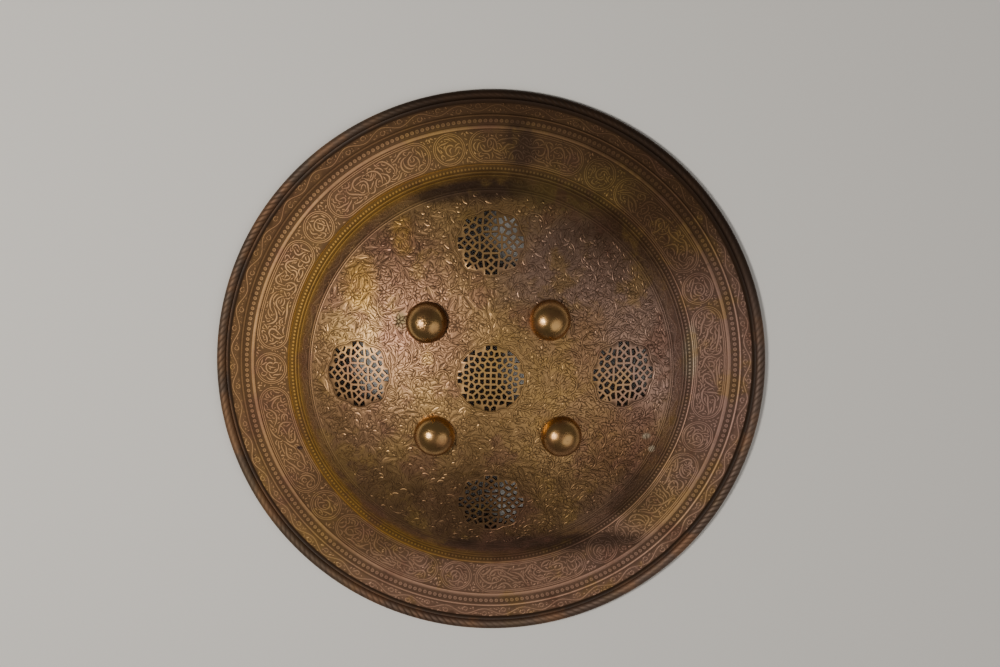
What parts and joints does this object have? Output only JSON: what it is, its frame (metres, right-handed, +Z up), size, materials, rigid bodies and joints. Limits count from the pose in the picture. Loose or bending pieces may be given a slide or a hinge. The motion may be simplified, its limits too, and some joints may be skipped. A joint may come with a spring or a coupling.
{
  "type": "buckler shield",
  "caption": "Round engraved brass shield with a low dome, a wide banded brim, a rolled rim, pierced rosettes and riveted bosses, lying rim down.",
  "frame": {"origin": "middle of the rim's resting plane, which is the underside of the rolled rim", "axes": "+Z up through the crown of the dome, +Y towards the top of the shield as it is held up, +X to the right of it seen from the front"},
  "size_m": [0.46, 0.46, 0.0754],
  "materials": {
    "aged_brass": "engraved sheet brass with a brown and reddish patina, worn brighter on the raised lines",
    "polished_brass": "rubbed warm brass with fine scratches"
  },
  "bodies": {
    "root": {"shield_plate": "aged_brass", "boss_upper_left": "polished_brass", "boss_upper_right": "polished_brass", "boss_lower_left": "polished_brass", "boss_lower_right": "polished_brass"}
  },
  "joints": []
}
